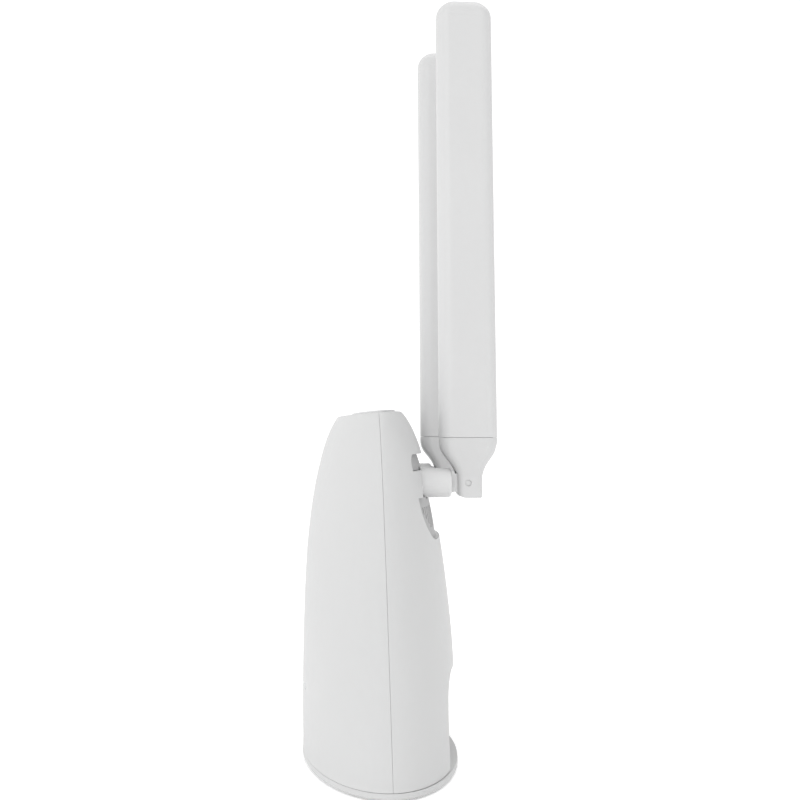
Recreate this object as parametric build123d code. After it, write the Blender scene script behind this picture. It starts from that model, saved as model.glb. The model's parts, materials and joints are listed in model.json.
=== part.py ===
from build123d import *
import math
import os

# Upright tabletop wireless router: an oval housing in two shells on an oval foot,
# with two paddle aerials on swivelling, folding elbows at the back.
# X is width, -Y is the front, +Y the back, +Z up. The origin is on the table,
# under the middle of the housing's lower edge. All sizes in millimetres.

# ---------------------------------------------------------------- dimensions
FOOT_PROUD = 0.8          # rubber feet stand this far below the foot plate
BASE_A, BASE_B = 72.4, 31.55  # foot plate half axes at its upper edge
BASE_Y = 0.55             # the foot reaches further back than forward
BASE_FLARE = 0.25         # the lower edge is this much wider
BASE_T = 2.4              # foot plate thickness
SHELL_Z0 = 2.55           # lower edge of the shells
WALL = 2.0                # rear shell wall
WALL_F = 2.4              # front shell wall
SEAM_Y0, SEAM_SLOPE = 0.45, -0.0308   # parting plane: y = SEAM_Y0 + SEAM_SLOPE * z
SEAM_GAP = 0.06

# housing sections: height, front reach, rear reach, half width
SECTIONS = [
    (0.0, 31.1, 31.1, 72.3),
    (15.0, 31.2, 31.0, 72.3),
    (30.0, 31.2, 30.75, 72.2),
    (46.0, 30.95, 30.2, 71.9),
    (62.0, 30.55, 28.75, 71.3),
    (76.0, 29.95, 27.05, 70.6),
    (88.0, 29.15, 25.3, 69.7),
    (98.0, 28.05, 23.45, 68.8),
    (107.0, 26.75, 21.45, 67.7),
    (115.0, 25.25, 19.65, 66.4),
    (122.0, 23.6, 18.0, 65.1),
    (128.0, 21.9, 16.15, 63.7),
    (132.5, 20.2, 14.3, 62.4),
    (136.0, 18.5, 12.5, 61.0),
    (138.6, 16.9, 10.8, 59.6),
    (140.6, 15.0, 9.1, 57.7),
    (142.4, 11.6, 6.6, 54.5),
]
TOP_Y, TOP_Z, TOP_SLOPE = 8.0, 141.1, 0.077   # rim plane: z = TOP_Z + TOP_SLOPE*(y-TOP_Y)
CAP_A, CAP_B, CAP_Y = 46.0, 8.8, -2.0         # top cap half axes and centre
CAP_PROUD = 0.9
RIM_R = 1.3               # rounding of the rim round the cap

# aerial recess in the upper back
BAY_HW, BAY_Z0, BAY_Z1, BAY_RLOW, BAY_RUP = 54.5, 91.0, 124.3, 15.0, 4.0
BAY_FLOOR = [(60.0, 1.8), (94.0, 1.75), (98.0, 1.5), (104.0, 1.3), (112.0, 1.5), (119.0, 1.8), (122.0, 2.1), (125.0, 2.5), (150.0, 2.6)]
BAY_T = 2.0               # thickness of the recess floor
# port recess in the lower back
PORT_HW, PORT_Z1, PORT_R = 44.6, 39.6, 10.0
PORT_FACE_Y = 19.5
PORT_PANEL_T = 2.0

# aerials
ANT_X = 34.0              # distance of each aerial from the middle
AX_Z = 112.8              # height of the swivel axis
BARREL_R = 5.8
BARREL_Y0, BARREL_Y1 = 14.1, 26.5
TONGUE_HALF = 2.45
PIN_Y, PIN_R = 32.7, 1.2
TONGUE_R = 3.6
KNUCKLE_DROP = 5.8        # knuckle bottom below the pin
PAD_T = 5.75              # half thickness of the paddle
SEAT_Y, SEAT_H = 13.9, 5.1     # face and half height of the white bar that holds each jack
JACK_R = 3.1              # threaded barrel of the aerial jack
SEAM_ANT_Z = 130.6
TIP_Z = 304.0
TIP_R = 6.7               # rounding of the paddle's upper corners

# circuit board
BOARD_Y0, BOARD_T = 3.5, 1.6
BOARD_HW, BOARD_Z0, BOARD_Z1 = 56.0, 8.5, 104.0
POSTS = [(-46, 16), (46, 16), (-46, 95), (46, 95)]
CASE_SCREWS = [(-50, -9), (50, -9), (-50, 10), (50, 10)]

os.makedirs("parts", exist_ok=True)


def save(name, *shapes):
    solids = []
    for s in shapes:
        solids += list((Pos(0, 0, FOOT_PROUD) * s).solids())
    out = solids[0] if len(solids) == 1 else Compound(children=solids)
    out.label = name
    export_step(out, f"parts/{name}.step")
    print(name, len(solids), round(sum(s.volume for s in solids), 1))


# ---------------------------------------------------------------- helpers
def inset(table, z):
    """Inset at height z, from a table of (height, inset)."""
    for (z0, t0), (z1, t1) in zip(table, table[1:]):
        if z <= z1:
            return t0 + (t1 - t0) * min(1.0, max(0.0, (z - z0) / (z1 - z0)))
    return table[-1][1]


def hull(t, z0):
    """Housing volume, t inside the outer skin, from z0 up."""
    secs = []
    for z, f, r, a in SECTIONS:
        c, b = (r - f) / 2, (r + f) / 2
        d = t if isinstance(t, (int, float)) else inset(t, z)
        secs.append(Pos(0, c, z) * Ellipse(a - d, b - d))
    body = loft(secs)
    body = body & (Pos(0, 0, z0 + 100) * Box(400, 200, 200))
    # sloping rim plane
    ang = math.degrees(math.atan(TOP_SLOPE))
    d = t if isinstance(t, (int, float)) else t[-1][1]
    keep = Pos(0, TOP_Y, TOP_Z - d) * Rot(ang, 0, 0) * Pos(0, 0, -100) * Box(400, 400, 200)
    return body & keep


def prism(sk, y0, y1):
    """Sketch drawn in X and Z, extruded from y0 to y1."""
    pl = Plane(origin=(0, y0, 0), x_dir=(1, 0, 0), z_dir=(0, -1, 0))
    return extrude(pl * sk, amount=-(y1 - y0))


def round_rect(hw, z0, z1, rlow, rup):
    sk = Pos(0, (z0 + z1) / 2) * Rectangle(2 * hw, z1 - z0)
    if rlow:
        sk = fillet(sk.vertices().sort_by(Axis.Y)[:2], rlow)
    if rup:
        sk = fillet(sk.vertices().sort_by(Axis.Y)[-2:], rup)
    return sk


def cyl_y(x, z, r, y0, y1):
    return Pos(x, (y0 + y1) / 2, z) * Rot(90, 0, 0) * Cylinder(r, y1 - y0)


def cyl_x(y, z, r, x0, x1):
    return Pos((x0 + x1) / 2, y, z) * Rot(0, 90, 0) * Cylinder(r, x1 - x0)


def cyl_z(x, y, r, z0, z1):
    return Pos(x, y, (z0 + z1) / 2) * Cylinder(r, z1 - z0)


def box(x0, x1, y0, y1, z0, z1):
    return Pos((x0 + x1) / 2, (y0 + y1) / 2, (z0 + z1) / 2) * Box(x1 - x0, y1 - y0, z1 - z0)


def add(*s):
    r = s[0]
    for q in s[1:]:
        r = r + q
    return r


SEAM_PLANE = Plane(origin=(0, SEAM_Y0, 0), x_dir=(1, 0, 0), z_dir=(0, 1, -SEAM_SLOPE))


def side(back, gap):
    """Half space in front of or behind the parting plane."""
    s = 1 if back else -1
    return SEAM_PLANE * (Pos(0, 0, s * (100 + gap / 2)) * Box(500, 500, 200))


def band(lo, hi):
    return SEAM_PLANE * (Pos(0, 0, (lo + hi) / 2) * Box(500, 500, hi - lo))


# ---------------------------------------------------------------- housing
outer = hull(0, SHELL_Z0)
outer = fillet(outer.faces().sort_by(Axis.Z)[-1].edges(), RIM_R)
inner_r = hull(WALL, SHELL_Z0 - 1)
inner_f = hull(WALL_F, SHELL_Z0 - 1)
bay_in = hull(BAY_FLOOR, 60)
bay_under = hull([(z, t + BAY_T) for z, t in BAY_FLOOR], 60)

cap_hole = Pos(0, CAP_Y, 130) * extrude(Ellipse(CAP_A, CAP_B), amount=20)
cap_ledge = Pos(0, CAP_Y, 120) * extrude(Ellipse(CAP_A - 1.6, CAP_B - 1.6), amount=40)

# front shell with its inner lip, board posts, screw posts and lamp holes
front = (outer - inner_f) & side(False, SEAM_GAP)
lip = (hull(2.15, SHELL_Z0) - hull(3.4, SHELL_Z0 - 1)) & band(-4.0, 2.6)
lip = lip - (Pos(0, 0, 143) * Box(200, 80, 14))
front = front + lip
for x, z in POSTS:
    front = front + (cyl_y(x, z, 3.2, -40, BOARD_Y0) & hull(1.0, SHELL_Z0))
for x, z in POSTS:
    front = front - cyl_y(x, z, 1.3, -8, BOARD_Y0 + 1)
for x, y in CASE_SCREWS[:2]:
    post = cyl_z(x, y, 3.4, 5.8, 24) + (box(x - 1, x + 1, -40, y, 5.8, 22) & hull(1.0, SHELL_Z0))
    front = front + post
    front = front - cyl_z(x, y, 1.3, 0, 20)
front = front - cap_hole
LAMPS = [-16, -8, 0, 8, 16]
LAMP_Z = 30.0
for x in LAMPS:
    front = front - cyl_y(x, LAMP_Z, 1.35, -40, -26)
save("front_shell", front)

# rear shell with both recesses and their return walls
bay_sk = round_rect(BAY_HW, BAY_Z0, BAY_Z1, BAY_RLOW, BAY_RUP)
bay_sk_out = round_rect(BAY_HW + 1.6, BAY_Z0 - 1.6, BAY_Z1 + 1.6, BAY_RLOW + 1.6, BAY_RUP + 1.6)
bay_sk_in = round_rect(BAY_HW - 0.15, BAY_Z0 + 0.15, BAY_Z1 - 0.15, BAY_RLOW - 0.15, BAY_RUP - 0.15)
port_sk = round_rect(PORT_HW, SHELL_Z0 - 6, PORT_Z1, 0, PORT_R)
port_sk_out = round_rect(PORT_HW + 1.6, SHELL_Z0 - 6, PORT_Z1 + 1.6, 0, PORT_R + 1.6)
port_sk_in = round_rect(PORT_HW - 0.15, SHELL_Z0, PORT_Z1 - 0.15, 0, PORT_R - 0.15)

rear = (outer - inner_r) & side(True, SEAM_GAP)
rear = rear + ((prism(bay_sk_out, 2, 50) - prism(bay_sk, 1, 60)) & (outer - bay_under))
rear = rear + ((prism(port_sk_out, 17.0, 50) - prism(port_sk, 10, 60)) & outer)
rear = rear - prism(bay_sk, 1, 60)
# a bar from each side wall of the recess carries an aerial jack
for s in (-1, 1):
    xa, xb, xc = (27.0, 44.0, BAY_HW + 1.0) if s > 0 else (-27.0, -44.0, -BAY_HW - 1.0)
    bar = box(min(xa, xb), max(xa, xb), 10.5, SEAT_Y, AX_Z - SEAT_H, AX_Z + SEAT_H)
    near = bar.edges().filter_by(Axis.Y).sort_by(Axis.X)
    bar = fillet(near[:2] if s > 0 else near[-2:], 3.0)
    bar = bar + box(min(xb, xc), max(xb, xc), 7.6, SEAT_Y, AX_Z - SEAT_H, AX_Z + SEAT_H)
    bar = bar & outer
    bar = bar - cyl_y(s * ANT_X, AX_Z, 4.0, 12.4, 20) - cyl_y(s * ANT_X, AX_Z, JACK_R + 0.15, 5, 20)
    rear = rear + bar
for x, y in CASE_SCREWS[2:]:
    post = cyl_z(x, y, 3.4, 5.8, 24) + (box(x - 1, x + 1, y, 40, 5.8, 22) & hull(1.0, SHELL_Z0))
    rear = rear + post
    rear = rear - cyl_z(x, y, 1.3, 0, 20)
rear = rear - prism(port_sk, 16.5, 60) - cap_hole
save("rear_shell", rear)

# top cap: a shallow crowned oval set in the top
cap = Pos(0, CAP_Y, 0) * extrude(Ellipse(CAP_A - 0.25, CAP_B - 0.25), amount=160)
ang = math.degrees(math.atan(TOP_SLOPE))
cap_slab = Pos(0, TOP_Y, TOP_Z + CAP_PROUD) * Rot(ang, 0, 0) * Pos(0, 0, -1.6) * Box(300, 120, 3.2)
cap = cap & cap_slab
top_face = cap.faces().sort_by(Axis.Z)[-1]
cap = fillet(top_face.edges(), 0.75)
save("top_cap", cap)
# clamp ring that holds the cap from inside, resting under the shells' rim
ring = (Pos(0, CAP_Y, 0) * extrude(Ellipse(CAP_A + 3.2, CAP_B + 2.4) - Ellipse(CAP_A - 3.0, CAP_B - 3.0), amount=160))
ring = ring & (Pos(0, TOP_Y, TOP_Z - 2.45 - 0.9) * Rot(ang, 0, 0) * Box(300, 120, 1.6)) & hull(3.6, 100)
save("cap_retainer", ring)

# aerial recess floor: follows the shell, cut round the two bars, with vent slots
bay = (bay_in - bay_under) & prism(bay_sk_in, 2, 50)
for s in (-1, 1):
    bay = bay - box(*((26.8, 60) if s > 0 else (-60, -26.8)), 0, 40, AX_Z - SEAT_H - 0.15, AX_Z + SEAT_H + 0.15)
    bay = bay - cyl_y(s * ANT_X, AX_Z, BARREL_R + 0.5, 8, 30)
slots = []
n = 29
for i in range(n):
    x = (i - (n - 1) / 2) * 3.4
    low = 95.5
    if abs(x) > 38:
        low = 95.5 + (abs(x) - 38) * 0.6
    tops = 120.5
    if abs(x) > ANT_X - 9.6:
        tops = 103.8
    slots.append(box(x - 0.75, x + 0.75, 2, 40, low, tops))
bay = bay - Compound(children=slots)
save("antenna_panel", bay)

# port panel with cut-outs
PORT_Z = 17.5
LAN_X = (6.5, -11.0)
PHONE_X = -27.0
DC_X = 21.5
PWR_X = 34.5
SYNC_X, SYNC_Z = -38.3, 22.0
RST_X, RST_Z = -38.3, 12.0
SIM_Z = 32.0
panel = prism(port_sk_in, PORT_FACE_Y - PORT_PANEL_T, PORT_FACE_Y)
for x in LAN_X:
    panel = panel - box(x - 8.15, x + 8.15, 10, 30, PORT_Z - 7.0, PORT_Z + 7.0)
panel = panel - box(PHONE_X - 6.75, PHONE_X + 6.75, 10, 30, PORT_Z - 7.0, PORT_Z + 7.0)
panel = panel - box(DC_X - 4.7, DC_X + 4.7, 10, 30, PORT_Z - 5.7, PORT_Z + 5.7)
panel = panel - cyl_y(PWR_X, PORT_Z, 4.3, 10, 30)
panel = panel - cyl_y(SYNC_X, SYNC_Z, 2.8, 10, 30)
panel = panel - cyl_y(RST_X, RST_Z, 1.1, 10, 30)
panel = panel - box(-7.5, 7.5, 10, 30, SIM_Z - 1.1, SIM_Z + 1.1)
save("port_panel", panel)

# foot plate with a locating rib, screw bosses and air slots
base = loft([Pos(0, BASE_Y, 0) * Ellipse(BASE_A + BASE_FLARE, BASE_B + BASE_FLARE), Pos(0, BASE_Y, BASE_T) * Ellipse(BASE_A, BASE_B)], ruled=True)
base = fillet(base.edges().group_by(Axis.Z)[0], 0.6)
rib = extrude(Ellipse(BASE_A - 4.0, BASE_B - 4.35) - Ellipse(BASE_A - 5.6, BASE_B - 5.95), amount=5.0)
rib = rib - box(-47, 47, 14, 60, -1, 9)
for x, y in CASE_SCREWS:
    rib = rib - cyl_z(x, y, 5.0, -1, 9)
base = base + rib
for x, y in CASE_SCREWS:
    base = base + cyl_z(x, y, 4.2, 1.0, 5.7)
for x, y in CASE_SCREWS:
    base = base - cyl_z(x, y, 1.55, -1, 9) - cyl_z(x, y, 3.1, -1, 2.9)
FEET = [(-34, -18), (34, -18), (-34, 19), (34, 19)]
for x, y in FEET:
    base = base - cyl_z(x, y, 5.1, -1, 0.8)
base = base - box(-24.2, 24.2, -12.2, 12.2, -1, 0.35)
vents = [box(s * (57 + 3.0 * i) - 0.7, s * (57 + 3.0 * i) + 0.7, -6, 6, -1, 4) for s in (-1, 1) for i in range(3)]
base = base - Compound(children=vents)
save("foot_plate", base)
save("rubber_feet", *[cyl_z(x, y, 5.0, -FOOT_PROUD, 0.75) for x, y in FEET])
save("blank_label", box(-24, 24, -12, 12, 0.05, 0.3))
save("case_screws", *[cyl_z(x, y, 2.9, 0.9, 2.85) + cyl_z(x, y, 1.25, 2.8, 17)
                      - (Pos(x, y, 0.9) * Box(3.6, 0.8, 1.4)) - (Pos(x, y, 0.9) * Box(0.8, 3.6, 1.4)) for x, y in CASE_SCREWS])
save("ballast_plate", box(-38, 38, -19, 8, BASE_T + 0.05, BASE_T + 3.0))

# status lamps: five windows and the light guide behind them
lens = [cyl_y(x, LAMP_Z, 1.25, -40, -28.0) & hull(0.02, SHELL_Z0) for x in LAMPS]
save("status_lenses", *lens)
guide = box(-18, 18, -21, -19.5, LAMP_Z - 2.2, LAMP_Z + 2.2)
for x in LAMPS:
    guide = guide + cyl_y(x, LAMP_Z, 1.0, -27.95, BOARD_Y0 - 0.8)
save("light_guide", guide)

# ---------------------------------------------------------------- electronics
board = box(-BOARD_HW, BOARD_HW, BOARD_Y0, BOARD_Y0 + BOARD_T, BOARD_Z0, BOARD_Z1)
board = fillet(board.edges().filter_by(Axis.Y), 3)
for x, z in POSTS:
    board = board - cyl_y(x, z, 1.6, 0, 10)
save("main_board", board)
BY = BOARD_Y0 + BOARD_T
save("board_screws", *[cyl_y(x, z, 2.7, BY + 0.02, BY + 1.8) + cyl_y(x, z, 1.25, -7, BY + 0.1) for x, z in POSTS])


def can(x0, x1, z0, z1):
    c = box(x0, x1, BOARD_Y0 - 2.6, BOARD_Y0, z0, z1)
    return fillet(c.edges().filter_by(Axis.Y), 1.0) - box(x0 + 0.3, x1 - 0.3, BOARD_Y0 - 2.3, BOARD_Y0 + 1, z0 + 0.3, z1 - 0.3)


save("shield_cans", can(-20, 20, 46, 84), can(-50, -26, 48, 80), can(26, 50, 48, 80))
save("thermal_pad", box(-16, 16, BOARD_Y0 - 3.65, BOARD_Y0 - 2.6, 50, 80))
hs = box(-22, 22, BOARD_Y0 - 6.0, BOARD_Y0 - 3.65, 44, 86)
for i in range(11):
    x = -21.2 + i * 4.24
    hs = hs + box(x - 0.6, x + 0.6, BOARD_Y0 - 16, BOARD_Y0 - 6.0, 44, 86)
save("heat_sink", hs)


def rj(x, w, h, cw, ch, d):
    j = box(x - w / 2, x + w / 2, BY, PORT_FACE_Y + 0.3, PORT_Z - h / 2, PORT_Z + h / 2)
    j = j - box(x - cw / 2, x + cw / 2, PORT_FACE_Y - d, 30, PORT_Z - ch / 2 + 0.6, PORT_Z + ch / 2 + 0.6)
    j = j - box(x - 3.1, x + 3.1, PORT_FACE_Y - d + 2, 30, PORT_Z - ch / 2 - 1.6, PORT_Z)
    return j


save("ethernet_jacks", *[rj(x, 16.0, 13.7, 11.8, 7.0, 11.5) for x in LAN_X])
save("phone_jack", rj(PHONE_X, 13.2, 13.7, 9.8, 7.0, 11.0))
# spring contacts of the jacks, standing off each cavity's back wall
save("jack_contacts",
     *[box(x + (i - 3.5) * 1.02 - 0.18, x + (i - 3.5) * 1.02 + 0.18, PORT_FACE_Y - 11.45, PORT_FACE_Y - 3.0,
           PORT_Z + 3.3, PORT_Z + 3.9) for x in LAN_X for i in range(8)],
     *[box(PHONE_X + (i - 1.5) * 1.02 - 0.18, PHONE_X + (i - 1.5) * 1.02 + 0.18, PORT_FACE_Y - 10.95, PORT_FACE_Y - 3.0,
           PORT_Z + 3.3, PORT_Z + 3.9) for i in range(4)])
dc = box(DC_X - 4.5, DC_X + 4.5, BY, PORT_FACE_Y + 0.3, PORT_Z - 5.5, PORT_Z + 5.5)
dc = dc - cyl_y(DC_X, PORT_Z, 2.9, PORT_FACE_Y - 9.5, 30)
save("power_jack", dc)
save("power_jack_pin", cyl_y(DC_X, PORT_Z, 1.0, PORT_FACE_Y - 9.45, PORT_FACE_Y - 1.2))
sim = box(-9.5, 9.5, BY, PORT_FACE_Y - 2.3, SIM_Z - 2.2, SIM_Z + 2.2)
sim = sim - box(-7.4, 7.4, BY + 2, 30, SIM_Z - 0.6, SIM_Z + 0.6)
save("sim_socket", sim)
# switch bodies on the board behind the three buttons
sw = [box(PWR_X - 4.2, PWR_X + 4.2, BY, BY + 6.0, PORT_Z - 4.2, PORT_Z + 4.2),
      box(SYNC_X - 3.1, SYNC_X + 3.1, BY, BY + 4.0, SYNC_Z - 3.1, SYNC_Z + 3.1),
      box(RST_X - 3.1, RST_X + 3.1, BY, BY + 4.0, RST_Z - 3.1, RST_Z + 3.1)]
save("switch_bodies", *sw)
# buttons: each a cap through the panel and a stem that reaches its switch
PWR_TRAVEL, SYNC_TRAVEL, RST_TRAVEL = 1.5, 0.6, 0.5


def button(x, z, r, proud, stem_r, y_sw, travel, flange):
    b = cyl_y(x, z, r, PORT_FACE_Y - PORT_PANEL_T - 2.0, PORT_FACE_Y + proud)
    b = fillet(b.edges().sort_by(Axis.Y)[-1], min(0.5, r / 3))
    b = b + cyl_y(x, z, flange, PORT_FACE_Y - PORT_PANEL_T - 1.4, PORT_FACE_Y - PORT_PANEL_T - 0.1)
    return b + cyl_y(x, z, stem_r, y_sw + travel + 0.1, PORT_FACE_Y - PORT_PANEL_T - 1.0)


save("power_button", button(PWR_X, PORT_Z, 4.0, 2.2, 1.8, BY + 6.0, PWR_TRAVEL, 4.9))
save("sync_button", button(SYNC_X, SYNC_Z, 2.5, 1.0, 1.2, BY + 4.0, SYNC_TRAVEL, 3.3))
save("reset_button", cyl_y(RST_X, RST_Z, 0.9, BY + 4.0 + RST_TRAVEL + 0.1, PORT_FACE_Y - 1.4)
     + cyl_y(RST_X, RST_Z, 2.2, PORT_FACE_Y - PORT_PANEL_T - 1.2, PORT_FACE_Y - PORT_PANEL_T - 0.1))
# internal wireless aerials: two printed strips by the end walls
save("wifi_antenna_strips", *[box(s * 60.4 - 0.4, s * 60.4 + 0.4, -9, 5, 48, 92) for s in (-1, 1)])

# ---------------------------------------------------------------- aerial jacks
jacks, nuts, leads = [], [], []
for s in (-1, 1):
    x = s * ANT_X
    j = cyl_y(x, AX_Z, JACK_R, 3.2, 20.4) + cyl_y(x, AX_Z, 3.8, 12.6, 13.85)
    j = j - cyl_y(x, AX_Z, 1.2, 15.5, 21)
    jacks.append(j)
    hexa = extrude(Plane(origin=(x, 8.0, AX_Z), x_dir=(1, 0, 0), z_dir=(0, -1, 0)) * RegularPolygon(4.7, 6), amount=-2.3)
    nuts.append(hexa - cyl_y(x, AX_Z, JACK_R + 0.05, 5, 14))
    # coaxial lead: from the jack's tail down to the board
    pts = [(x, 3.1, AX_Z), (x, -4.0, AX_Z), (x, -4.0, 98.0), (x, 2.3, 92.0)]
    path = FilletPolyline(*pts, radius=3.0)
    sec = Plane(origin=path @ 0, z_dir=path % 0) * Circle(0.7)
    lead = sweep(sec, path=path)
    leads.append(lead)
save("antenna_jacks", *jacks)
save("jack_nuts", *nuts)
save("coax_leads", *leads)


# ---------------------------------------------------------------- aerials
def paddle_section(y0, y1, hx, r, z):
    return Pos(0, (y0 + y1) / 2, z) * RectangleRounded(2 * hx, y1 - y0, r)


def cover_outer(t):
    """Paddle, t inside its skin: a long taper closed by a domed end."""
    y0, y1, hx, q, ry, rx = 20.7 + t, 42.6 - t, PAD_T - 0.15 - t, 4.6 - t, TIP_R - t, 4.6 - t

    def dome(d):
        iy = ry - math.sqrt(max(0.0, ry ** 2 - max(0.0, ry - d) ** 2))
        ix = rx - math.sqrt(max(0.0, rx ** 2 - max(0.0, rx - d) ** 2))
        return paddle_section(y0 + iy, y1 - iy, hx - ix, min(q, hx - ix - 0.1), TIP_Z - t - d)

    lo = paddle_section(21.9 + t, 44.8 - t, PAD_T - t, q, SEAM_ANT_Z + 0.05)
    body = loft([lo, dome(ry)], ruled=True)
    return body + loft([dome(ry * f) for f in (1.0, 0.8, 0.6, 0.42, 0.27, 0.15, 0.06, 0.012)])


def neck(t):
    rows = [
        (SEAM_ANT_Z - 0.05, 21.9, 44.8, PAD_T, 4.6),
        (128.6, 21.9, 44.75, PAD_T, 4.6),
        (126.4, 22.3, 44.2, PAD_T, 4.4),
        (124.0, 23.5, 43.2, 5.7, 4.0),
        (121.6, 25.4, 41.5, 5.65, 3.5),
        (119.2, 27.2, 39.9, 5.6, 3.0),
        (117.0, 28.3, 38.95, 5.6, 2.6),
        (115.0, 28.9, 38.5, 5.6, 2.2),
    ]
    up = loft([paddle_section(y0, y1, hx, r, z) for z, y0, y1, hx, r in rows][::-1])
    return up + extrude(paddle_section(28.9, 38.5, 5.6, 2.2, AX_Z - KNUCKLE_DROP), amount=115.0 - (AX_Z - KNUCKLE_DROP))


cover0 = cover_outer(0)
cover1 = cover_outer(1.5)
cover = cover0 - cover1
base0 = neck(0)
# round the knuckle's lower front corner, and ease the lower rear one
q = 2.9
corner = box(-10, 10, 28.9 - 2, 28.9 + q, AX_Z - KNUCKLE_DROP - 2, AX_Z - KNUCKLE_DROP + q)
corner = corner - cyl_x(28.9 + q, AX_Z - KNUCKLE_DROP + q, q, -12, 12)
base0 = base0 - corner
q2 = 0.8
corner = box(-10, 10, 38.5 - q2, 41, AX_Z - KNUCKLE_DROP - 2, AX_Z - KNUCKLE_DROP + q2)
corner = corner - cyl_x(38.5 - q2, AX_Z - KNUCKLE_DROP + q2, q2, -12, 12)
base0 = base0 - corner
# slot for the tongue, pin holes, and the spigot that plugs into the cover
base0 = base0 - box(-2.6, 2.6, 20, 45, 100, AX_Z + 4.5)
base0 = base0 - cyl_x(PIN_Y, AX_Z, PIN_R + 0.02, -20, 20)
spigot = extrude(paddle_section(21.9 + 1.75, 44.8 - 1.75, PAD_T - 1.7, 2.9, SEAM_ANT_Z - 1.5), amount=7.0)
spigot = spigot - extrude(paddle_section(21.9 + 3.0, 44.8 - 3.0, PAD_T - 2.9, 1.7, SEAM_ANT_Z - 0.2), amount=8.0)
base0 = base0 + spigot
pin0 = cyl_x(PIN_Y, AX_Z, PIN_R, -5.25, 5.25)
barrel0 = cyl_y(0, AX_Z, BARREL_R, BARREL_Y0, BARREL_Y1)
barrel0 = fillet(barrel0.edges().filter_by(GeomType.CIRCLE).sort_by(Axis.Y)[-1], 1.1)
barrel0 = fillet(barrel0.edges().filter_by(GeomType.CIRCLE).sort_by(Axis.Y)[0], 0.3)
tongue = box(-TONGUE_HALF, TONGUE_HALF, 24, PIN_Y, AX_Z - TONGUE_R, AX_Z + TONGUE_R)
tongue = tongue + cyl_x(PIN_Y, AX_Z, TONGUE_R, -TONGUE_HALF, TONGUE_HALF)
root = box(-TONGUE_HALF, TONGUE_HALF, 25, 27.8, AX_Z - 3.7, AX_Z + 4.6)
root = fillet(root.edges().filter_by(Axis.X).sort_by(Axis.Y)[-2:], 0.9)
barrel0 = barrel0 + tongue + root
barrel0 = barrel0 - cyl_x(PIN_Y, AX_Z, PIN_R + 0.05, -5, 5)
barrel0 = barrel0 - cyl_y(0, AX_Z, 4.45, 10, 21.0)
insert0 = cyl_y(0, AX_Z, 4.4, BARREL_Y0 + 0.5, 20.95) - cyl_y(0, AX_Z, JACK_R + 0.06, 10, 20.6)
insert0 = insert0 - cyl_y(0, AX_Z, 0.8, 10, 25)
contact0 = cyl_y(0, AX_Z, 0.75, 16.2, 20.9)
board0 = box(-0.5, 0.5, 26.0, 39.0, SEAM_ANT_Z + 0.2, 290.0)
element0 = (box(0.55, 0.85, 27.5, 31.0, 150, 284) + box(0.55, 0.85, 27.5, 37.5, 205, 209) + box(0.55, 0.85, 34.0, 37.5, 170, 250))
for name, s in (("right", 1), ("left", -1)):
    mv = Pos(s * ANT_X, 0, 0)
    save(f"{name}_swivel_barrel", mv * barrel0)
    save(f"{name}_coupling_insert", mv * insert0)
    save(f"{name}_centre_contact", mv * contact0)
    save(f"{name}_hinge_pin", mv * pin0)
    save(f"{name}_antenna_base", mv * base0)
    save(f"{name}_antenna_cover", mv * cover)
    save(f"{name}_antenna_board", mv * board0)
    save(f"{name}_antenna_element", mv * element0)
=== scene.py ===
import bpy, bmesh, json, math
import numpy as np
from mathutils import Matrix, Vector

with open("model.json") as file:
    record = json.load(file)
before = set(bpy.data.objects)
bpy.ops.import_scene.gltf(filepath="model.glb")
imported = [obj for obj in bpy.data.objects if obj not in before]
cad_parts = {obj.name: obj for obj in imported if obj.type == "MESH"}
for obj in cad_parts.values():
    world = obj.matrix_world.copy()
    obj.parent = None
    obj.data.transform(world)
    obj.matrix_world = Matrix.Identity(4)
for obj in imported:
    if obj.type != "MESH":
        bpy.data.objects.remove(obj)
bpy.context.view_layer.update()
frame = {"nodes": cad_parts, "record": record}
nodes = frame["nodes"]
MM = 0.001
sc = bpy.context.scene
sc.view_settings.view_transform = "Standard"
sc.view_settings.look = "None"
sc.view_settings.exposure = 0.0
sc.view_settings.gamma = 1.0


# ------------------------------------------------------------------ materials
def nt(name):
    m = bpy.data.materials.new(name)
    m.use_nodes = True
    t = m.node_tree
    for n in list(t.nodes):
        t.nodes.remove(n)
    out = t.nodes.new("ShaderNodeOutputMaterial")
    p = t.nodes.new("ShaderNodeBsdfPrincipled")
    t.links.new(p.outputs["BSDF"], out.inputs["Surface"])
    return m, t, p


def node(t, kind, **kw):
    n = t.nodes.new(kind)
    for k, v in kw.items():
        if hasattr(n, k):
            setattr(n, k, v)
        else:
            n.inputs[k].default_value = v
    return n


def coords(t):
    return t.nodes.new("ShaderNodeTexCoord").outputs["Object"]


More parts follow.
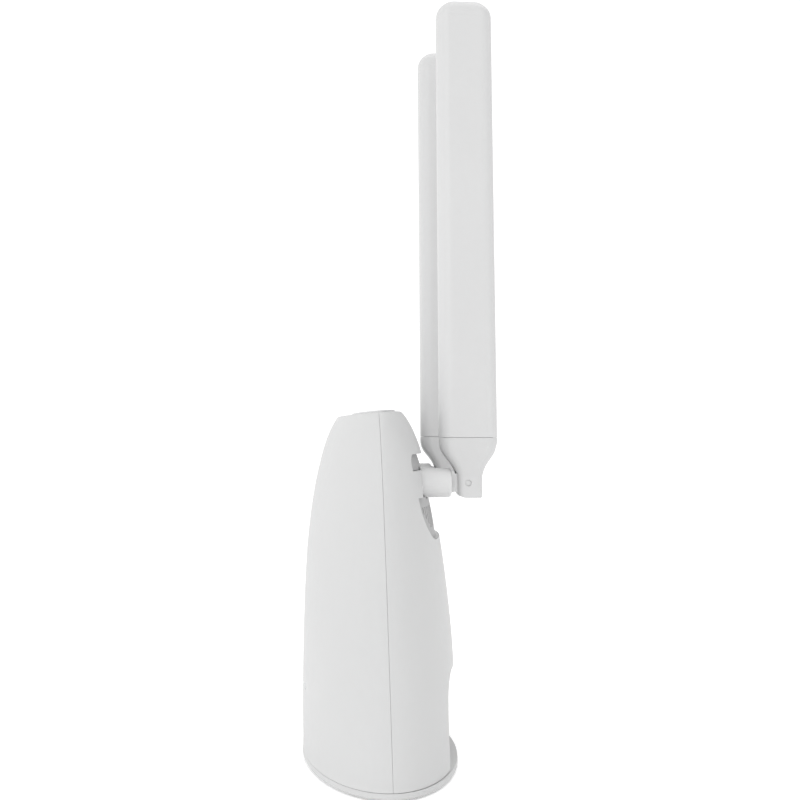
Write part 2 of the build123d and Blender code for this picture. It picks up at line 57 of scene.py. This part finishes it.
def moulded(name, rgb, rough=(0.42, 0.52), grain=2600.0, depth=0.00002, mottle=0.02, edge_painted_highlight=0.03,
            spec=0.5, coat=0.0, wave=0.0006, bump_strength=0.35, metallic=0.0, sub=0.0, soft=0.00022):
    """Moulded plastic: spark-eroded grain, faint flow waves, faint colour mottle, convex edges painted brighter as a
    highlight.
    """
    m, t, p = nt(name)
    L = t.links.new
    co = coords(t)
    fine = node(t, "ShaderNodeTexNoise", Scale=grain, Detail=3.0, Roughness=0.6)
    mid = node(t, "ShaderNodeTexNoise", Scale=grain * 0.13, Detail=4.0, Roughness=0.55)
    big = node(t, "ShaderNodeTexNoise", Scale=22.0, Detail=3.0, Roughness=0.5)
    for n in (fine, mid, big):
        L(co, n.inputs["Vector"])
    # colour
    ramp = t.nodes.new("ShaderNodeMapRange")
    ramp.inputs["From Min"].default_value = 0.3
    ramp.inputs["From Max"].default_value = 0.7
    ramp.inputs["To Min"].default_value = 1.0 - mottle
    ramp.inputs["To Max"].default_value = 1.0 + mottle * 0.6
    L(big.outputs["Fac"], ramp.inputs["Value"])
    # painted highlight: convex edges (high pointiness) get a lighter base colour
    geo = t.nodes.new("ShaderNodeNewGeometry")
    er = t.nodes.new("ShaderNodeMapRange")
    er.inputs["From Min"].default_value = 0.53
    er.inputs["From Max"].default_value = 0.62
    er.inputs["To Min"].default_value = 0.0
    er.inputs["To Max"].default_value = edge_painted_highlight
    L(geo.outputs["Pointiness"], er.inputs["Value"])
    sm = node(t, "ShaderNodeMath", operation="ADD")
    L(ramp.outputs["Result"], sm.inputs[0])
    L(er.outputs["Result"], sm.inputs[1])
    spk = t.nodes.new("ShaderNodeMapRange")
    spk.inputs["From Min"].default_value = 0.35
    spk.inputs["From Max"].default_value = 0.65
    spk.inputs["To Min"].default_value = 1.0 - mottle * 0.8
    spk.inputs["To Max"].default_value = 1.0
    L(mid.outputs["Fac"], spk.inputs["Value"])
    mul = node(t, "ShaderNodeMath", operation="MULTIPLY")
    L(sm.outputs[0], mul.inputs[0])
    L(spk.outputs["Result"], mul.inputs[1])
    vm = t.nodes.new("ShaderNodeVectorMath")
    vm.operation = "SCALE"
    vm.inputs[0].default_value = rgb
    L(mul.outputs[0], vm.inputs["Scale"])
    L(vm.outputs["Vector"], p.inputs["Base Color"])
    # roughness
    rr = t.nodes.new("ShaderNodeMapRange")
    rr.inputs["From Min"].default_value = 0.3
    rr.inputs["From Max"].default_value = 0.7
    rr.inputs["To Min"].default_value = rough[0]
    rr.inputs["To Max"].default_value = rough[1]
    L(mid.outputs["Fac"], rr.inputs["Value"])
    L(rr.outputs["Result"], p.inputs["Roughness"])
    # bump: grain over a faint flow wave
    b1 = node(t, "ShaderNodeBump", Strength=bump_strength, Distance=depth)
    L(fine.outputs["Fac"], b1.inputs["Height"])
    b2 = node(t, "ShaderNodeBump", Strength=0.25, Distance=wave * 0.2)
    L(big.outputs["Fac"], b2.inputs["Height"])
    bv = t.nodes.new("ShaderNodeBevel")
    bv.samples = 4
    bv.inputs["Radius"].default_value = soft
    L(bv.outputs["Normal"], b2.inputs["Normal"])
    L(b2.outputs["Normal"], b1.inputs["Normal"])
    L(b1.outputs["Normal"], p.inputs["Normal"])
    p.inputs["Specular IOR Level"].default_value = spec
    p.inputs["Metallic"].default_value = metallic
    p.inputs["Coat Weight"].default_value = coat
    p.inputs["Coat Roughness"].default_value = 0.2
    if sub:
        p.inputs["Subsurface Weight"].default_value = sub
        p.inputs["Subsurface Radius"].default_value = (0.002, 0.0018, 0.0016)
        p.inputs["Subsurface Scale"].default_value = 1.0
    return m


def metal(name, rgb, rough=(0.22, 0.38), grain=900.0, stretch=(1, 1, 14)):
    """Plated or bare metal with fine directional scratches and patchy dulling."""
    m, t, p = nt(name)
    L = t.links.new
    co = coords(t)
    mp = t.nodes.new("ShaderNodeMapping")
    mp.inputs["Scale"].default_value = stretch
    L(co, mp.inputs["Vector"])
    fine = node(t, "ShaderNodeTexNoise", Scale=grain, Detail=5.0, Roughness=0.65)
    L(mp.outputs["Vector"], fine.inputs["Vector"])
    big = node(t, "ShaderNodeTexNoise", Scale=140.0, Detail=3.0, Roughness=0.5)
    L(co, big.inputs["Vector"])
    r = t.nodes.new("ShaderNodeMapRange")
    r.inputs["From Min"].default_value = 0.3
    r.inputs["From Max"].default_value = 0.7
    r.inputs["To Min"].default_value = rough[0]
    r.inputs["To Max"].default_value = rough[1]
    L(fine.outputs["Fac"], r.inputs["Value"])
    L(r.outputs["Result"], p.inputs["Roughness"])
    c = t.nodes.new("ShaderNodeMapRange")
    c.inputs["From Min"].default_value = 0.3
    c.inputs["From Max"].default_value = 0.7
    c.inputs["To Min"].default_value = 0.88
    c.inputs["To Max"].default_value = 1.05
    L(big.outputs["Fac"], c.inputs["Value"])
    vm = t.nodes.new("ShaderNodeVectorMath")
    vm.operation = "SCALE"
    vm.inputs[0].default_value = rgb
    L(c.outputs["Result"], vm.inputs["Scale"])
    L(vm.outputs["Vector"], p.inputs["Base Color"])
    b = node(t, "ShaderNodeBump", Strength=0.3, Distance=0.00001)
    L(fine.outputs["Fac"], b.inputs["Height"])
    L(b.outputs["Normal"], p.inputs["Normal"])
    p.inputs["Metallic"].default_value = 1.0
    return m


def board_mat(name):
    """Green solder mask with fine copper tracks under it."""
    m, t, p = nt(name)
    L = t.links.new
    co = coords(t)
    mp = t.nodes.new("ShaderNodeMapping")
    mp.inputs["Scale"].default_value = (1, 0.02, 1)
    L(co, mp.inputs["Vector"])
    vor = t.nodes.new("ShaderNodeTexVoronoi")
    vor.distance = "MANHATTAN"
    vor.feature = "F1"
    vor.inputs["Scale"].default_value = 220.0
    L(mp.outputs["Vector"], vor.inputs["Vector"])
    noise = node(t, "ShaderNodeTexNoise", Scale=900.0, Detail=3.0)
    L(co, noise.inputs["Vector"])
    w = t.nodes.new("ShaderNodeMath")
    w.operation = "PINGPONG"
    w.inputs[1].default_value = 0.14
    L(vor.outputs["Distance"], w.inputs[0])
    g = t.nodes.new("ShaderNodeMapRange")
    g.inputs["From Min"].default_value = 0.05
    g.inputs["From Max"].default_value = 0.07
    L(w.outputs[0], g.inputs["Value"])
    mix = t.nodes.new("ShaderNodeMix")
    mix.data_type = "RGBA"
    mix.inputs["A"].default_value = (0.012, 0.085, 0.04, 1)
    mix.inputs["B"].default_value = (0.03, 0.17, 0.075, 1)
    L(g.outputs["Result"], mix.inputs["Factor"])
    L(mix.outputs["Result"], p.inputs["Base Color"])
    b = node(t, "ShaderNodeBump", Strength=0.4, Distance=0.00003)
    L(g.outputs["Result"], b.inputs["Height"])
    L(b.outputs["Normal"], p.inputs["Normal"])
    r = t.nodes.new("ShaderNodeMapRange")
    r.inputs["To Min"].default_value = 0.25
    r.inputs["To Max"].default_value = 0.42
    L(noise.outputs["Fac"], r.inputs["Value"])
    L(r.outputs["Result"], p.inputs["Roughness"])
    return m


WHITE = (0.530, 0.532, 0.532)
M = {}
M["shell_white"] = moulded("shell_white", WHITE, rough=(0.44, 0.54), grain=2400, depth=0.00003, mottle=0.012)
M["antenna_white"] = moulded("antenna_white", (0.548, 0.549, 0.550), rough=(0.38, 0.48), grain=3200, depth=0.00002, mottle=0.012)
# painted light: a lighter copy of the white plastic for the swivel barrels, brightening them where the aerials and
# shell shade them
M["elbow_white_painted_lit"] = moulded("elbow_white_painted_lit", (0.625, 0.626, 0.627), rough=(0.36, 0.46), grain=3000, depth=0.00002, mottle=0.012)
M["cap_grey"] = moulded("cap_grey", (0.56, 0.562, 0.564), rough=(0.40, 0.5), grain=2600, depth=0.00002, mottle=0.02)
M["panel_grey"] = moulded("panel_grey", (0.37, 0.37, 0.372), rough=(0.5, 0.62), grain=2200, depth=0.00004, mottle=0.03)
M["rubber_grey"] = moulded("rubber_grey", (0.05, 0.05, 0.052), rough=(0.7, 0.85), grain=1500, depth=0.00005, mottle=0.1, spec=0.3)
M["label_silver"] = moulded("label_silver", (0.62, 0.63, 0.64), rough=(0.3, 0.4), grain=3000, depth=0.00001, mottle=0.02)
M["screw_steel"] = metal("screw_steel", (0.55, 0.55, 0.56))
M["ballast_steel"] = metal("ballast_steel", (0.40, 0.40, 0.41), rough=(0.35, 0.55))
M["can_tin"] = metal("can_tin", (0.72, 0.72, 0.71), rough=(0.2, 0.3))
M["sink_aluminium"] = metal("sink_aluminium", (0.75, 0.76, 0.77), rough=(0.3, 0.42))
M["contact_gold"] = metal("contact_gold", (0.86, 0.64, 0.25), rough=(0.15, 0.25))
M["connector_brass"] = metal("connector_brass", (0.78, 0.60, 0.30), rough=(0.2, 0.32))
M["copper_trace"] = metal("copper_trace", (0.80, 0.42, 0.26), rough=(0.25, 0.4))
M["jack_black"] = moulded("jack_black", (0.018, 0.018, 0.019), rough=(0.28, 0.4), grain=2500, depth=0.00002, mottle=0.1)
M["button_white"] = moulded("button_white", (0.53, 0.53, 0.532), rough=(0.34, 0.44), grain=3000, depth=0.00002, mottle=0.012)
M["lead_black"] = moulded("lead_black", (0.02, 0.02, 0.022), rough=(0.4, 0.55), grain=2500, depth=0.00002, mottle=0.1)
M["pad_grey"] = moulded("pad_grey", (0.30, 0.33, 0.38), rough=(0.7, 0.85), grain=1800, depth=0.00004, mottle=0.08)
M["board_green"] = board_mat("board_green")
lamp = moulded("lamp_clear", (0.26, 0.30, 0.31), rough=(0.08, 0.16), grain=1200, depth=0.00001, mottle=0.02)
M["lamp_clear"] = lamp

slot_of = {s["node"]: s["material_slot"] for s in frame["record"]["subparts"]}


def paint(obj, mat):
    obj.data.materials.clear()
    obj.data.materials.append(mat)


for n, o in nodes.items():
    # swivel barrels take the lighter white, painted light against the shade cast on them by the aerials and shell
    paint(o, M["elbow_white_painted_lit" if n.endswith("swivel_barrel") else slot_of[n]])

# ------------------------------------------------------------------ camera
FPX, D = 1237.6, 520.0
XV, YH = 286.0, 430.0
yc = -(377.5 - XV) / 2.38
psi = math.atan2(400 - XV, FPX)
phi = math.atan2((YH - 400) * math.cos(psi), FPX)
fwd = Vector((-math.cos(psi) * math.cos(phi), math.sin(psi) * math.cos(phi), math.sin(phi)))
right = fwd.cross(Vector((0, 0, 1))).normalized()
up = right.cross(fwd)
cam_data = bpy.data.cameras.new("cam")
cam_data.sensor_width = 36.0
cam_data.lens = FPX * 36.0 / 800.0
cam_data.clip_start = 0.01
cam_data.clip_end = 20
cam = bpy.data.objects.new("cam", cam_data)
sc.collection.objects.link(cam)
cam.matrix_world = Matrix((
    (right.x, up.x, -fwd.x, D * MM),
    (right.y, up.y, -fwd.y, yc * MM),
    (right.z, up.z, -fwd.z, (133.6 + 0.8) * MM),
    (0, 0, 0, 1)))
sc.camera = cam

# ------------------------------------------------------------------ stage and light
bm = bmesh.new()
bmesh.ops.create_grid(bm, x_segments=24, y_segments=24, size=4.0)
me = bpy.data.meshes.new("floor")
bm.to_mesh(me)
bm.free()
floor = bpy.data.objects.new("floor", me)
sc.collection.objects.link(floor)
fm, ft, fp = nt("floor_paper")
fn = node(ft, "ShaderNodeTexNoise", Scale=3.0, Detail=2.0)
ft.links.new(coords(ft), fn.inputs["Vector"])
fr = ft.nodes.new("ShaderNodeMapRange")
fr.inputs["To Min"].default_value = 0.93
fr.inputs["To Max"].default_value = 0.95
ft.links.new(fn.outputs["Fac"], fr.inputs["Value"])
fv = ft.nodes.new("ShaderNodeVectorMath")
fv.operation = "SCALE"
fv.inputs[0].default_value = (1, 1, 1)
ft.links.new(fr.outputs["Result"], fv.inputs["Scale"])
ft.links.new(fv.outputs["Vector"], fp.inputs["Base Color"])
fp.inputs["Emission Color"].default_value = (1, 1, 1, 1)
fp.inputs["Emission Strength"].default_value = 0.22
fp.inputs["Roughness"].default_value = 0.9
fp.inputs["Specular IOR Level"].default_value = 0.1
paint(floor, fm)

w = bpy.data.worlds.new("studio")
sc.world = w
w.use_nodes = True
bg = w.node_tree.nodes["Background"]
bg.inputs["Color"].default_value = (1, 1, 1, 1)
# a bright room in front of the object, a slightly dimmer one behind it
wt = w.node_tree
wc = wt.nodes.new("ShaderNodeTexCoord")
wx = wt.nodes.new("ShaderNodeSeparateXYZ")
wt.links.new(wc.outputs["Generated"], wx.inputs["Vector"])
wr = wt.nodes.new("ShaderNodeMapRange")
wr.inputs["From Min"].default_value = -1.0
wr.inputs["From Max"].default_value = 1.0
wr.inputs["To Min"].default_value = 1.24
wr.inputs["To Max"].default_value = 0.84
wt.links.new(wx.outputs["Y"], wr.inputs["Value"])
wz = wt.nodes.new("ShaderNodeMapRange")
wz.inputs["From Min"].default_value = 0.2
wz.inputs["From Max"].default_value = 0.6
wz.inputs["To Min"].default_value = 0.18
wz.inputs["To Max"].default_value = 0.0
wt.links.new(wx.outputs["Z"], wz.inputs["Value"])
wa = wt.nodes.new("ShaderNodeMath")
wa.operation = "ADD"
wt.links.new(wr.outputs["Result"], wa.inputs[0])
wt.links.new(wz.outputs["Result"], wa.inputs[1])
# the room's darker corner, behind and to the right
wd = wt.nodes.new("ShaderNodeVectorMath")
wd.operation = "DOT_PRODUCT"
wd.inputs[1].default_value = (0.60, 0.80, 0.0)
wt.links.new(wc.outputs["Generated"], wd.inputs[0])
wk = wt.nodes.new("ShaderNodeMapRange")
wk.inputs["From Min"].default_value = 0.35
wk.inputs["From Max"].default_value = 0.95
wk.inputs["To Min"].default_value = 0.0
wk.inputs["To Max"].default_value = 0.55
wt.links.new(wd.outputs["Value"], wk.inputs["Value"])
ws = wt.nodes.new("ShaderNodeMath")
ws.operation = "SUBTRACT"
wt.links.new(wa.outputs[0], ws.inputs[0])
wh = wt.nodes.new("ShaderNodeMapRange")
wh.inputs["From Min"].default_value = 0.22
wh.inputs["From Max"].default_value = 0.5
wh.inputs["To Min"].default_value = 0.0
wh.inputs["To Max"].default_value = 1.0
wt.links.new(wx.outputs["Z"], wh.inputs["Value"])
wm = wt.nodes.new("ShaderNodeMath")
wm.operation = "MULTIPLY"
wt.links.new(wk.outputs["Result"], wm.inputs[0])
wt.links.new(wh.outputs["Result"], wm.inputs[1])
wt.links.new(wm.outputs[0], ws.inputs[1])
wt.links.new(ws.outputs[0], bg.inputs["Strength"])


def area(name, loc, aim, size, power, color=(1, 1, 1)):
    d = bpy.data.lights.new(name, "AREA")
    d.shape = "RECTANGLE"
    d.size, d.size_y = size
    d.energy = power
    d.color = color
    o = bpy.data.objects.new(name, d)
    sc.collection.objects.link(o)
    v = Vector(aim) - Vector(loc)
    o.rotation_euler = v.to_track_quat("-Z", "Y").to_euler()
    o.location = loc
    return o


area("key", (1.35, -0.4, 0.65), (0, 0, 0.12), (0.7, 0.7), 2.6)
area("top", (0.05, 0.35, 1.3), (0, 0.02, 0.1), (1.0, 1.0), 3.6)
